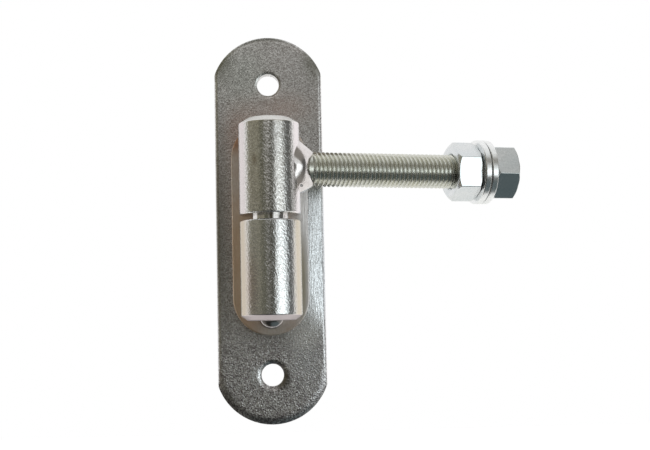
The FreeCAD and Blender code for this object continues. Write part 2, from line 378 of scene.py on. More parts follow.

# Zinc-plated hot-rolled bar: the rolling scale's pits show through as a grey sparkle, and
# the linished strip spreads the light in upright streaks, helped by a painted sheen.
PLATE_ZINC = PlatedSteel(
    name="zinc_plated_hot_rolled_bar",
    shades=("#a29c9a", "#fffefe"),
    gloss=(0.32, 0.08),
    grains=(
        Grain(size_mm=0.55, height_mm=0.06, stretch=(1.0, 1.0, 1.5), detail=1.0),
        Grain(size_mm=0.65, height_mm=0.19, detail=1.0, patch=COARSE_END),
        Grain(size_mm=2.4, height_mm=0.06, stretch=(1.0, 1.0, 3.0)),
        Grain(size_mm=0.5, height_mm=0.15, stretch=SCRATCH, lean_deg=7.5, patch=LINISHED_AND_SHEEN_STRIP),
        Grain(size_mm=0.5, height_mm=0.1, stretch=SCRATCH, lean_deg=9.0, patch=LINISHED_CREST),
    ),
    cloud=("#d9d0cc", 22.0, 0.35),
    specks=(
        Specks("#aba5a3", "#ffffff", 0.5, 0.85, ALL_OVER),
        Specks("#a6a9a5", "#fafdf9", 0.5, 0.8, on_front(-12, 72, 20, 24)),
        Specks("#8e8689", "#ffffff", 0.6, 1.0, COARSE_END),
    ),
    tints=(
        Tint("#c8aea0", 0.4, on_front(-16, 14, 14, 50)),
        Tint("#c89c86", 0.45, on_front(-12, 45, 14, 22)),
        Tint("#d9bdb2", 0.45, on_front(6, 56, 22, 12)),
        *(Tint("#6c705c", 0.7, on_front(x, 80, 10, 16)) for x in (-23, 23)),
        Tint("#7d8070", 0.6, on_front(0, 92, 22, 7)),
        # Painted shade: the plate's lower end and its lower left corner are painted nearly black.
        Tint("#3a3b38", 0.8, on_front(-2, -94, 30, 9.5)),
        Tint("#3a3b38", 0.7, on_front(-23, -82, 9, 13)),
        # Painted sheen: the plate right of and below the barrels is painted pale, near white by the lower barrel's
        # foot and on the linished strip.
        Tint("#eceef2", 0.5, on_front(18, -60, 15, 26)),
        Tint("#ffffff", 0.9, on_front(15, -47, 11, 12, core=0.4)),
        Tint("#f3f7fb", 0.95, LINISHED_AND_SHEEN_STRIP),
        # Painted shade: a darker band down the plate's left side.
        Tint("#7f7d74", 0.65, on_front(-25, 0, 10, 80)),
        # Painted highlight on the left of the lower hole's rim, and painted shade to the right of it.
        Tint("#eef0f2", 0.8, on_front(-6.3, -67.5, 5, 6, core=0.5)),
        Tint("#5f5b52", 0.8, on_front(4.4, -69.6, 5.2, 6.4, core=0.4)),
    ),
    frostings=(Frosting(0.25, PUNCHED_RIM),),
)

# Right side of the pad beside the upper barrel, where the drawing die left upright scratches.
DRAWN_SIDE = Patch((17.5, -11, 18), (6, 8, 34), core=0.5)

# Zinc-plated cold-drawn flat: smooth, with the brown and pink of a thin passivation film.
PAD_ZINC = PlatedSteel(
    name="zinc_plated_drawn_flat",
    shades=("#e2d6cb", "#f0e8e0"),
    gloss=(0.46, 0.05),
    grains=(
        Grain(size_mm=1.0, height_mm=0.06, stretch=(1.0, 1.0, 2.0)),
        Grain(0.6, 0.16, stretch=(1.0, 1.0, 30.0), lean_deg=9.0, patch=DRAWN_SIDE),
    ),
    cloud=("#dcc4b3", 14.0, 0.6),
    tints=(
        Tint("#f3d2b0", 0.6, Patch((-15, -11, -22), (14, 20, 48), core=0.4)),
        Tint("#b98258", 0.75, Patch((-15, -11, 46), (9, 20, 16), core=0.3)),
        # Painted sheen on the pad's right side, and painted shade in a narrow band beside the barrel.
        Tint("#f6f5f6", 0.9, Patch((18, -11, -12), (12, 20, 60), core=0.3)),
        Tint("#bdb8a8", 0.95, Patch((14.2, -11, -25), (2.8, 20, 27), core=0.2)),
    ),
)

# Stretch of the barrels between their end chamfers, and the two chamfers.
BARREL_BAR = Patch((0, -25.5, 2.2), (90, 90, 43.6), core=0.98)
TOP_CHAMFER = Patch((0, -25.5, 52), (90, 90, 6.9), core=0.94)
BOTTOM_CHAMFER = Patch((0, -25.5, -46.6), (90, 90, 6.4), core=0.94)

# Zinc-plated bar with turned ends: bright, with the fine dents of barrel plating on its skin,
# and frosted where the lathe cut the chamfers.
BARREL_ZINC = PlatedSteel(
    name="zinc_plated_turned_bar",
    shades=("#d3d3d1", "#ebebe9"),
    gloss=(0.17, 0.04),
    grains=(
        Grain(0.75, 0.14, (1.0, 1.0, 1.8), (0.0, 30.0, 0.0), detail=3.0, patch=BARREL_BAR),
        Grain(size_mm=3.5, height_mm=0.06, patch=BARREL_BAR),
    ),
    cloud=("#e0d8cc", 16.0, 0.5),
    specks=(Specks("#b9b8b4", "#ffffff", 0.45, 0.7, BARREL_BAR),),
    tints=(
        Tint("#8d7a60", 0.5, Patch((-6.6, -38, 28), (2, 6, 4))),
        # Painted reflection: pinkish tints down the barrel's left and right sides, and a paler top chamfer.
        Tint("#dad1d1", 0.85, Patch((-14, -26, 26), (6.5, 13, 200), core=0.6)),
        Tint("#f0eaeb", 1.0, Patch((14, -26, 26), (6.5, 13, 200), core=0.6)),
        Tint("#f6f5f3", 1.0, TOP_CHAMFER),
    ),
    frostings=(Frosting(0.55, TOP_CHAMFER),),
)
# The lower barrel: a cooler tone, a pinkish band down its front left, painted reflections in
# cream down its sides and in pink on its chamfer, and a softer chamfer.
LOWER_BARREL_ZINC = replace(
    BARREL_ZINC,
    name="zinc_plated_turned_bar_cream",
    tints=(
        Tint("#eaecef", 0.45, Patch((0, -25, -24), (90, 90, 90), core=0.8)),
        Tint("#c6b2ae", 0.6, Patch((-9.5, -36, -28), (5.5, 9, 24))),
        # Painted reflection: cream tints down the barrel's sides, and a pinkish bottom chamfer.
        Tint("#c8bcaa", 1.0, Patch((-14, -26, -22), (9, 14, 200), core=0.4)),
        Tint("#d8cebc", 1.0, Patch((14, -26, -22), (7.5, 14, 200), core=0.5)),
        Tint("#e8dedf", 1.0, BOTTOM_CHAMFER),
    ),
    frostings=(Frosting(0.5, BOTTOM_CHAMFER),),
)

# Zinc-plated weld metal: glossy runs that mirror their dark hollows.
WELD_ZINC = PlatedSteel(
    name="zinc_plated_weld_metal",
    shades=("#dad6d6", "#efebeb"),
    gloss=(0.15, 0.05),
    grains=(Grain(size_mm=1.6, height_mm=0.05),),
    cloud=("#d8d1cf", 5.0, 0.5),
)

# Ground steel pin: bright, with marks that run round it.
PIN_STEEL = PlatedSteel(
    name="ground_steel_pin",
    shades=("#dbdad8", "#f0efee"),
    gloss=(0.12, 0.04),
    grains=(Grain(size_mm=0.35, height_mm=0.004, stretch=(8.0, 8.0, 1.0)),),
    cloud=("#b9a893", 6.0, 0.15),
)

# Hardened bearing steel: polished to a mirror.
BALL_STEEL = PlatedSteel(
    name="polished_bearing_steel",
    shades=("#cfd0d2", "#dcdde0"),
    gloss=(0.08, 0.02),
    grains=(Grain(size_mm=1.5, height_mm=0.001),),
    cloud=("#c4c6ca", 4.0, 0.3),
)

# Zinc-plated rolled thread: smooth flanks under a faint yellow passivation.
STUD_ZINC = PlatedSteel(
    name="zinc_plated_rolled_thread",
    shades=("#cdcec6", "#dedfd8"),
    gloss=(0.27, 0.05),
    grains=(Grain(size_mm=0.8, height_mm=0.012),),
    cloud=("#d5d4c5", 7.0, 0.5),
)

# Bright zinc on forged nuts: clear, cool and nearly even.
FASTENER_ZINC = PlatedSteel(
    name="bright_zinc_plated_steel",
    shades=("#d8dbdc", "#e8eaeb"),
    gloss=(0.18, 0.04),
    grains=(Grain(size_mm=0.9, height_mm=0.012, detail=3.0), Grain(size_mm=4.0, height_mm=0.02)),
    cloud=("#d3dadd", 6.0, 0.5),
)

# Bright zinc on punched washers: tumbled, so that their rims spread the light more softly.
WASHER_ZINC = PlatedSteel(
    name="tumbled_zinc_plated_steel",
    shades=("#eeefef", "#f9fafa"),
    gloss=(0.25, 0.05),
    grains=(Grain(size_mm=0.9, height_mm=0.012, detail=3.0),),
    cloud=("#eceff0", 6.0, 0.5),
)


class Reach(NamedTuple):
    """How far a solid reaches along an axis, and how near to it and far from it, in mm.

    corner_angle is the angle about the axis of the corner furthest from it.
    """

    low: float
    high: float
    inner: float
    outer: float
    corner_angle: float


@dataclass(frozen=True)
class Axis:
    """Line that a piece is turned about, with the direction in which its angles start."""

    origin: Array
    along: Array
    start: Array

    @property
    def side(self) -> Array:
        """Direction a quarter turn on from the start."""
        return np.cross(self.along, self.start)

    def place(self, radius: Array | float, angle: Array | float, distance: Array | float) -> Array:
        """Gives points at a radius and angle about the axis and a distance along it.

        A point is the origin, plus the distance times the axis, plus the radius times the
        sum of the start direction by the angle's cosine and the side direction by its sine.

        Args:
            radius: Millimetres from the axis.
            angle: Angle from the start direction, right-handed about the axis.
            distance: Millimetres along the axis from its origin.

        Returns:
            Points, in the shape of the three inputs broadcast together, with a last axis of 3.
        """
        radius, angle, distance = np.broadcast_arrays(radius * MM, angle, distance * MM)
        outward = np.cos(angle)[..., None] * self.start + np.sin(angle)[..., None] * self.side
        return self.origin + distance[..., None] * self.along + radius[..., None] * outward

    def reach(self, node: str) -> Reach:
        """Measures a solid of the frame along and about this axis.

        Args:
            node: Name of the solid.

        Returns:
            The solid's reach.
        """
        away = node_points(node) - self.origin
        distance = away @ self.along
        offset = away - distance[:, None] * self.along
        radius = np.linalg.norm(offset, axis=1)
        corner = offset[np.argmax(radius)]
        ends = (distance.min(), distance.max(), radius.min(), radius.max())
        turn = math.atan2(corner @ self.side, corner @ self.start)
        return Reach(*(end / MM for end in ends), turn)


def node_points(node: str) -> Array:
    """Gives the corner points of a solid of the frame.

    Args:
        node: Name of the solid.

    Returns:
        Points in metres, one row each.
    """
    mesh = frame["nodes"][node].data
    flat = np.empty(3 * len(mesh.vertices), np.float32)
    mesh.vertices.foreach_get("co", flat)
    return flat.reshape(-1, 3).astype(float)


def joint_of(name: str) -> dict[str, Any]:
    """Gives a joint of the frame by its name."""
    return next(joint for joint in frame["joints"] if joint["name"] == name)


def added(name: str, data: bpy.types.ID) -> bpy.types.Object:
    """Adds an object to the scene.

    Args:
        name: Name of the object.
        data: Its mesh, light or camera.

    Returns:
        The new object.
    """
    made = bpy.data.objects.new(name, data)
    bpy.context.scene.collection.objects.link(made)
    return made


def eased(corners: list[Triple], steps: int = 6) -> Array:
    """Rounds the corners of a profile.

    Each corner is swapped for a quadratic curve that leaves one side and meets the next at
    the corner's ease, with the corner itself as the curve's pull point. A point on each side
    of the curve, half an ease further off, keeps the flats beside it flat to the light.

    Args:
        corners: Radius, distance and ease of each corner, in order.
        steps: Points on each rounded corner.

    Returns:
        Profile points, radius and distance in each row.
    """
    table = np.array(corners)
    points, ease = table[:, :2], table[:, 2:]
    before = np.roll(points, 1, axis=0) - points
    after = np.roll(points, -1, axis=0) - points
    first = points + ease * before / np.linalg.norm(before, axis=1, keepdims=True)
    last = points + ease * after / np.linalg.norm(after, axis=1, keepdims=True)
    share = np.linspace(0, 1, steps)[None, :, None]
    curve = (
        (1 - share) ** 2 * first[:, None]
        + 2 * share * (1 - share) * points[:, None]
        + share**2 * last[:, None]
    )
    early = (1.5 * first - 0.5 * points)[:, None]
    late = (1.5 * last - 0.5 * points)[:, None]
    return np.concatenate([early, curve, late], axis=1).reshape(-1, 2)


def obround(out: Array, straight: float, bend_steps: int, side_steps: int) -> tuple[Array, Array]:
    """Carries distances from the middle line round an obround's path.

    A point lies on the middle line, moved out along the path's outward direction, which
    turns through half a circle at each end and holds still along each side.

    Args:
        out: Distance from the middle line, one for each row.
        straight: Half the middle line's length.
        bend_steps: Points round each end.
        side_steps: Points along each side, its ends included.

    Returns:
        Places across and along the obround, each in rows and columns.
    """
    bend = np.linspace(0, math.pi, bend_steps)
    side = np.linspace(straight, -straight, side_steps)[1:-1]
    still = np.zeros_like(side)
    turn = np.concatenate([bend, still + math.pi, bend + math.pi, still])
    end = np.full(bend_steps, straight)
    middle = np.concatenate([end, side, -end, -side])
    return out[:, None] * np.cos(turn), middle + out[:, None] * np.sin(turn)


class Skin:
    """Mesh put together from patches, each a grid of points."""

    def __init__(self) -> None:
        """Starts with no patch."""
        self._points: list[Array] = []
        self._quads: list[Array] = []
        self._count = 0

    def add(self, grid: Array, around: bool = False) -> "Skin":
        """Adds a patch.

        Args:
            grid: Points in rows and columns.
            around: Whether the last column joins the first.

        Returns:
            This skin.
        """
        rows, columns = grid.shape[:2]
        index = np.arange(rows * columns).reshape(rows, columns) + self._count
        left = index if around else index[:, :-1]
        right = np.roll(index, -1, axis=1) if around else index[:, 1:]
        quads = np.stack([left[:-1], right[:-1], right[1:], left[1:]], axis=-1)
        self._points.append(grid.reshape(-1, 3))
        self._quads.append(quads.reshape(-1, 4))
        self._count += rows * columns
        return self

    def turned(self, axis: Axis, profile: Array, columns: int, closed: bool = True) -> "Skin":
        """Adds a profile of radius and distance, turned about an axis.

        Args:
            axis: Line that the profile is turned about.
            profile: Radius and distance of each profile point, in millimetres.
            columns: Steps round the axis.
            closed: Whether the last profile point joins the first.

        Returns:
            This skin.
        """
        loop = np.vstack([profile, profile[:1]]) if closed else profile
        angle = np.linspace(0, FULL_TURN, columns, endpoint=False)
        return self.add(axis.place(loop[:, :1], angle[None, :], loop[:, 1:]), around=True)

    def piece(self, name: str, node: str, finish: PlatedSteel, sharp_deg: float = 32.0) -> None:
        """Makes the object, and puts it in the place of a solid of the frame.

        Doubled points are merged, so that seams and poles close, and the faces are turned
        outwards.

        Args:
            name: Name of the new object.
            node: Solid that it stands for, whose body it takes.
            finish: Finish of its surface.
            sharp_deg: Angle between faces above which an edge stays sharp.
        """
        points = np.concatenate(self._points)
        quads = np.concatenate(self._quads)
        mesh = bpy.data.meshes.new(name)
        mesh.vertices.add(len(points))
        mesh.vertices.foreach_set("co", points.astype(np.float32).ravel())
        mesh.loops.add(quads.size)
        mesh.loops.foreach_set("vertex_index", quads.astype(np.int32).ravel())
        mesh.polygons.add(len(quads))
        mesh.polygons.foreach_set("loop_start", np.arange(0, quads.size, 4, dtype=np.int32))
        mesh.update(calc_edges=True)
        shell = bmesh.new()
        shell.from_mesh(mesh)
        bmesh.ops.remove_doubles(shell, verts=shell.verts, dist=WELD_MM * MM)
        bmesh.ops.recalc_face_normals(shell, faces=shell.faces)
        shell.to_mesh(mesh)
        shell.free()
        mesh.polygons.foreach_set("use_smooth", np.ones(len(mesh.polygons), bool))
        mesh.set_sharp_from_angle(angle=math.radians(sharp_deg))
        mesh.materials.append(finish.material())
        made = added(name, mesh)

        record = frame["record"]
        bodies = record["behaviour"]["bodies"]
        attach(made, next(body for body, nodes in bodies.items() if node in nodes))
        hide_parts(node)
        LOG.info("%s stands for %s, %d faces", name, node, len(mesh.polygons))


def arc_drop(inset: Array, width: float, depth: float) -> Array:
    """Depth of a rolled edge below its face.

    The roll is an arc that leaves the face at a tangent, width from the edge, and has fallen
    by depth at the edge: the drop is the arc's radius less its height there.

    Args:
        inset: Distance in from the edge.
        width: Width of the roll.
        depth: Drop at the edge.

    Returns:
        Drop at each inset, 0 further in than the roll.
    """
    bend = (width**2 + depth**2) / (2 * depth)
    run = np.clip(width - inset, 0, width)
    return bend - np.sqrt(np.maximum(bend**2 - run**2, 0))


@dataclass
class BackPlate:
    """Flat bar with arc ends and two punched holes, all sizes in millimetres.

    A roll is its width and depth. rim_rows and edge_rows say how far from a hole's rim and
    from the outline the rows of the mesh lie.
    """

    end_rise: float = 17.9
    side_round: float = 1.7
    crop_roll: Pair = (4.0, 1.2)
    upper_crop_roll: Pair = (2.2, 0.6)
    hole_roll: Pair = (2.3, 0.9)
    upper_hole_roll: Pair = (1.3, 0.35)
    back_ease: float = 0.5
    end_line: float = 38.0
    rim_rows: tuple[float, ...] = (0, 0.06, 0.2, 0.45, 0.75, 1.1, 1.5, 1.9, 2.3, 2.6)
    edge_rows: tuple[float, ...] = (
        4.4, 4.0, 3.5, 3.0, 2.5, 2.0, 1.5, 1.1, 0.8, 0.5, 0.3, 0.14, 0.04, 0
    )
    ray_steps: int = 16
    across_steps: int = 49
    rise_steps: int = 14
    arc_steps: int = 90
    middle_rows: int = 24
    finish: PlatedSteel = PLATE_ZINC

    def __post_init__(self) -> None:
        """Takes the bar's size and its holes from the frame."""
        low, high = (np.array(corner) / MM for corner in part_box("back_plate"))
        self.half_width, self.half_length, self.front_y = high[0], high[2], low[1]
        bolts = next(mount for mount in frame["record"]["mounts"] if mount["name"] == "plate_bolts")
        self.hole_z = bolts["dims"]["spacing_y_mm"] / 2
        self.hole_radius = bolts["dims"]["hole_r_mm"]
        self.end_radius = (self.half_width**2 + self.end_rise**2) / (2 * self.end_rise)
        swing = np.linspace(-math.pi / 2, math.pi / 2, self.across_steps)
        self.across = self.half_width * np.sin(swing)

    def build(self) -> None:
        """Builds the bar from its two ends, each a fan of rays from a hole, and its middle."""
        skin = Skin()
        for up in (1, -1):
            self._end(skin, up)
        self._middle(skin)
        skin.piece("plate_bar", "back_plate", self.finish)

    def _faces(self, x: Array, z: Array) -> tuple[Array, Array]:
        """Gives the front and back points over places on the bar.

        The front is flat, less the rolls at the sides, the cropped ends and the holes, and
        the back is flat, with its side edges and hole edges eased.

        Args:
            x: Places across the bar.
            z: Places along it.

        Returns:
            Front points and back points, in metres.
        """
        end_centre = self.half_length - self.end_radius
        past = np.maximum(np.abs(z) - end_centre, 0)
        inset = self.end_radius - np.hypot(x, past)
        end = np.where(
            z > 0, arc_drop(inset, *self.upper_crop_roll), arc_drop(inset, *self.crop_roll)
        )
        inset = np.hypot(x, np.abs(z) - self.hole_z) - self.hole_radius
        hole = np.where(
            z > 0, arc_drop(inset, *self.upper_hole_roll), arc_drop(inset, *self.hole_roll)
        )
        back_hole = arc_drop(inset, self.back_ease, self.back_ease)
        inset = self.half_width - np.abs(x)
        side = arc_drop(inset, self.side_round, self.side_round)
        back_side = arc_drop(inset, self.back_ease, self.back_ease)
        front = self.front_y + np.maximum(side, np.where(past > 0, end, 0)) + hole
        back = -back_side - back_hole
        return tuple(np.stack([x, y, z], axis=-1) * MM for y in (front, back))

    def _outline(self, up: int) -> Array:
        """Gives the outline of one end.

        Args:
            up: 1 for the upper end and -1 for the lower one.

        Returns:
            Places across and along the bar, those on the line where its middle begins first.
        """
        corner = self.half_length - self.end_rise
        half_turn = math.asin(self.half_width / self.end_radius)
        rise = np.linspace(self.end_line, corner, self.rise_steps)[1:]
        fall = rise[::-1][1:]
        swing = np.linspace(half_turn, -half_turn, self.arc_steps)[1:]
        arc_x = self.end_radius * np.sin(swing)
        arc_z = self.half_length - self.end_radius + self.end_radius * np.cos(swing)
        right, left = np.full_like(rise, self.half_width), np.full_like(fall, -self.half_width)
        line = np.full_like(self.across, self.end_line)
        x = np.concatenate([self.across, right, arc_x, left])
        z = np.concatenate([line, rise, arc_z, fall])
        return np.stack([x, up * z], axis=-1)

    def _end(self, skin: Skin, up: int) -> None:
        """Adds one end: rays run from the hole's rim to the outline, on the front and back.

        Args:
            skin: Skin that gets the patches.
            up: 1 for the upper end and -1 for the lower one.
        """
        rim = self._outline(up)
        centre = np.array([0.0, up * self.hole_z])
        ray = rim - centre
        length = np.linalg.norm(ray, axis=1)
        inner = np.repeat(self.hole_radius + np.array(self.rim_rows)[:, None], len(rim), axis=1)
        outer = length[None, :] - np.array(self.edge_rows)[:, None]
        share = np.linspace(0, 1, self.ray_steps)[1:-1, None]
        between = inner[-1:] * (1 - share) + outer[:1] * share
        reach = np.vstack([inner, between, outer])
        x, z = (centre[way] + reach * (ray[:, way] / length) for way in (0, 1))
        front, back = self._faces(x, z)
        skin.add(front, around=True)
        skin.add(back[::-1], around=True)
        skin.add(np.stack([back[0], front[0]]), around=True)
        line = len(self.across)
        edge = np.roll(np.arange(len(rim)), 1 - line)[:len(rim) - line + 2]
        skin.add(np.stack([front[-1, edge], back[-1, edge]]))

    def _middle(self, skin: Skin) -> None:
        """Adds the straight stretch between the ends.

        Args:
            skin: Skin that gets the patches.
        """
        along = np.linspace(self.end_line, -self.end_line, self.middle_rows)
        x, z = np.meshgrid(self.across, along)
        front, back = self._faces(x, z)
        skin.add(front)
        skin.add(back[:, ::-1])
        for column in (0, -1):
            skin.add(np.stack([front[:, column], back[:, column]]))


@dataclass
class SpacerPad:
    """Obround flat between the plate and the barrels, sizes in millimetres."""

    edge_ease: float = 0.6
    profile_steps: int = 8
    bend_steps: int = 65
    side_steps: int = 33
    finish: PlatedSteel = PAD_ZINC

    def build(self) -> None:
        """Carries the edge profile, a face, a quarter round and a side, round the obround."""
        low, high = (np.array(corner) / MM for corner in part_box("spacer_pad"))
        radius, ease = high[0], self.edge_ease
        face = np.append(np.linspace(0, radius - 1.3 * ease, self.profile_steps), radius - ease)
        bend = np.linspace(0, math.pi / 2, self.profile_steps)[1:]
        out = np.concatenate([face, radius - ease * (1 - np.sin(bend)), [radius, 0]])
        thickness = np.full(2, high[1] - low[1])
        depth = np.concatenate([0 * face, ease * (1 - np.cos(bend)), thickness])
        x, z = obround(out, high[2] - radius, self.bend_steps, self.side_steps)
        y = np.broadcast_to(low[1] + depth[:, None], x.shape)
        grid = np.stack([x, y, z], axis=-1) * MM
        Skin().add(grid, around=True).piece("pad_flat", "spacer_pad", self.finish)


@dataclass
class Barrels:
    """The two turned barrels with the pin and the ball inside them, sizes in millimetres."""

    axis: Axis
    top_chamfer: Pair = (4.1, 2.6)
    bottom_chamfer: Pair = (3.1, 2.3)
    inner_chamfer: float = 0.5
    edge_ease: float = 0.35
    pin_chamfer: float = 1.0
    pin_ease: float = 0.1
    seat_rim: float = 2.5
    seat_half_angle_deg: float = 60.0
    columns: int = 192
    ball_steps: int = 49
    upper_finish: PlatedSteel = BARREL_ZINC
    lower_finish: PlatedSteel = LOWER_BARREL_ZINC

    def build(self) -> None:
        """Builds both barrels, the pin and the ball."""
        self._lower()
        self._upper()
        self._pin()
        self._ball()

    def _lower(self) -> None:
        """Lower barrel: closed below with a chamfer, with the pin's socket in its top."""
        low, high, _, radius, _ = self.axis.reach("lower_barrel")
        socket, _, _, bore, _ = self.axis.reach("hinge_pin")
        radial, axial = self.bottom_chamfer
        ease = self.edge_ease
        profile = eased([
            (0, low, 0),
            (radius - radial, low, ease),
            (radius, low + axial, ease),
            (radius, high - self.inner_chamfer, ease / 2),
            (radius - self.inner_chamfer, high, ease / 2),
            (bore, high, 0),
            (bore, socket, 0),
            (0, socket, 0),
        ])
        self._turned("barrel_lower", "lower_barrel", profile, self.lower_finish)

    def _upper(self) -> None:
        """Upper barrel: closed above with a wide chamfer, with a drill-pointed bore below."""
        low, high, _, radius, _ = self.axis.reach("upper_barrel")
        x, y, height = (node_points("upper_barrel") - self.axis.origin).T / MM
        away = np.hypot(x, y)
        bore = away[height < low + WELD_MM].min()
        apex = height[away < WELD_MM].min()
        shoulder = height[np.abs(away - bore) < WELD_MM].max()
        radial, axial = self.top_chamfer
        ease = self.edge_ease
        profile = eased([
            (bore, low, 0),
            (radius - self.inner_chamfer, low, ease / 2),
            (radius, low + self.inner_chamfer, ease / 2),
            (radius, high - axial, ease),
            (radius - radial, high, ease),
            (0, high, 0),
            (0, apex, 0),
            (bore, shoulder, 0),
        ])
        self._turned("barrel_upper", "upper_barrel", profile, self.upper_finish)

    def _pin(self) -> None:
        """Pin: a plain rod with chamfered ends and a conical seat for the ball in its top."""
        low, high, _, radius, _ = self.axis.reach("hinge_pin")
        chamfer, ease = self.pin_chamfer, self.pin_ease
        seat = radius - chamfer - self.seat_rim
        profile = eased([
            (0, low, 0),
            (radius - chamfer, low, ease),
            (radius, low + chamfer, ease),
            (radius, high - chamfer, ease),
            (radius - chamfer, high, ease),
            (seat, high, ease),
            (0, high - seat / math.tan(math.radians(self.seat_half_angle_deg)), 0),
        ])
        self._turned("pin_ground", "hinge_pin", profile, PIN_STEEL)

    def _ball(self) -> None:
        """Ball: half a circle turned about the hinge axis."""
        low, high, *_ = self.axis.reach("thrust_ball")
        radius, middle = (high - low) / 2, (high + low) / 2
        swing = np.linspace(-math.pi / 2, math.pi / 2, self.ball_steps)
        profile = np.stack([radius * np.cos(swing), middle + radius * np.sin(swing)], axis=-1)
        profile[[0, -1], 0] = 0
        self._turned("ball_bearing", "thrust_ball", profile, BALL_STEEL, closed=False)

    def _turned(
        self, name: str, node: str, profile: Array, finish: PlatedSteel, closed: bool = True
    ) -> None:
        """Turns a profile about the hinge axis into a piece."""
        Skin().turned(self.axis, profile, self.columns, closed).piece(name, node, finish)


@dataclass
class BarrelWeld:
    """Weld bead in the root under the lower barrel, sizes in millimetres."""

    ripple: float = 0.03
    ripple_pitch: float = 1.9
    ripple_bow: float = 0.08
    sink: float = 0.3
    rows: int = 28
    bend_steps: int = 49
    side_steps: int = 61
    finish: PlatedSteel = WELD_ZINC

    def build(self) -> None:
        """Builds the bead as a mound over an obround.

        Its height over a point falls as the square root of one less the square of the share
        of the way out, and crescent ripples run along it, bowed towards its lower end.
        """
        low, high = (np.array(corner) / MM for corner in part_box("barrel_weld"))
        half_width = high[0]
        out = np.sin(np.linspace(0, math.pi / 2, self.rows))
        straight = (high[2] - low[2]) / 2 - half_width
        x, z = obround(half_width * out, straight, self.bend_steps, self.side_steps)
        z = z + (high[2] + low[2]) / 2
        swell = np.sqrt(np.maximum(1 - out[:, None] ** 2, 0))
        bowed = z + self.ripple_bow * x**2
        wave = self.ripple * np.sin(FULL_TURN * bowed / self.ripple_pitch) * swell
        y = high[1] - ((high[1] - low[1]) * swell + wave)
        top = np.stack([x, y, z], axis=-1)
        bottom = np.full_like(x[0], high[1] + self.sink)
        root, spine = (np.stack([x[row], bottom, z[row]], axis=-1)[None] for row in (-1, 0))
        grid = np.concatenate([top, root, spine]) * MM
        skin = Skin().add(grid, around=True)
        skin.piece("bead_barrel_root", "barrel_weld", self.finish, sharp_deg=60.0)


@dataclass
class ThreadedStud:
    """Stud with a rolled right-hand thread, sizes in millimetres."""

    axis: Axis
    pitch: float = 2.0
    thread_depth: float = 1.0
    crest_share: float = 0.16
    root_share: float = 0.22
    neck_radius: float = 7.2
    neck_end: float = 19.4
    run_in: float = 0.8
    end_chamfer: float = 1.2
    columns: int = 108
    rows_per_turn: int = 12
    finish: PlatedSteel = STUD_ZINC

    def build(self) -> None:
        """Builds the stud as a radius over the angle and the distance along it.

        The distance less the pitch's share of the angle, counted in pitches, says where a
        point is between two crests; the radius goes from crest to root on rounded flanks.
        Each row of the grid climbs by one pitch in a turn, so that it keeps its place on the
        flank, and is held between the thread's two ends.
        """
        root_end, end, _, crest, _ = self.axis.reach("threaded_stud")
        start = self.neck_end - self.run_in
        step = self.pitch / self.rows_per_turn
        rows = math.ceil((end - start + self.pitch) / step) + 1
        angle = np.linspace(0, FULL_TURN, self.columns + 1)[None, :]
        climb = self.pitch * (angle / FULL_TURN - 1)
        distance = np.clip(start + step * np.arange(rows)[:, None] + climb, start, end)
        from_crest = 2 * np.abs((distance / self.pitch - angle / FULL_TURN) % 1 - 0.5)
        flank_share = 1 - self.crest_share - self.root_share
        flank = np.clip((from_crest - self.crest_share) / flank_share, 0, 1)
        radius = crest - self.thread_depth * flank * flank * (3 - 2 * flank)
        fade = np.clip((distance - start) / self.run_in, 0, 1)
        radius = self.neck_radius + (radius - self.neck_radius) * fade
        radius = np.minimum(radius, crest - self.end_chamfer + (end - distance))

        thread = self.axis.place(radius, angle, distance)
        neck = self.axis.place(np.array([[0.0], [self.neck_radius]]), angle, root_end)
        cap = self.axis.place(0.0, angle, end)
        skin = Skin().add(np.concatenate([neck, thread, cap]))
        skin.piece("stud_thread", "threaded_stud", self.finish, sharp_deg=50.0)


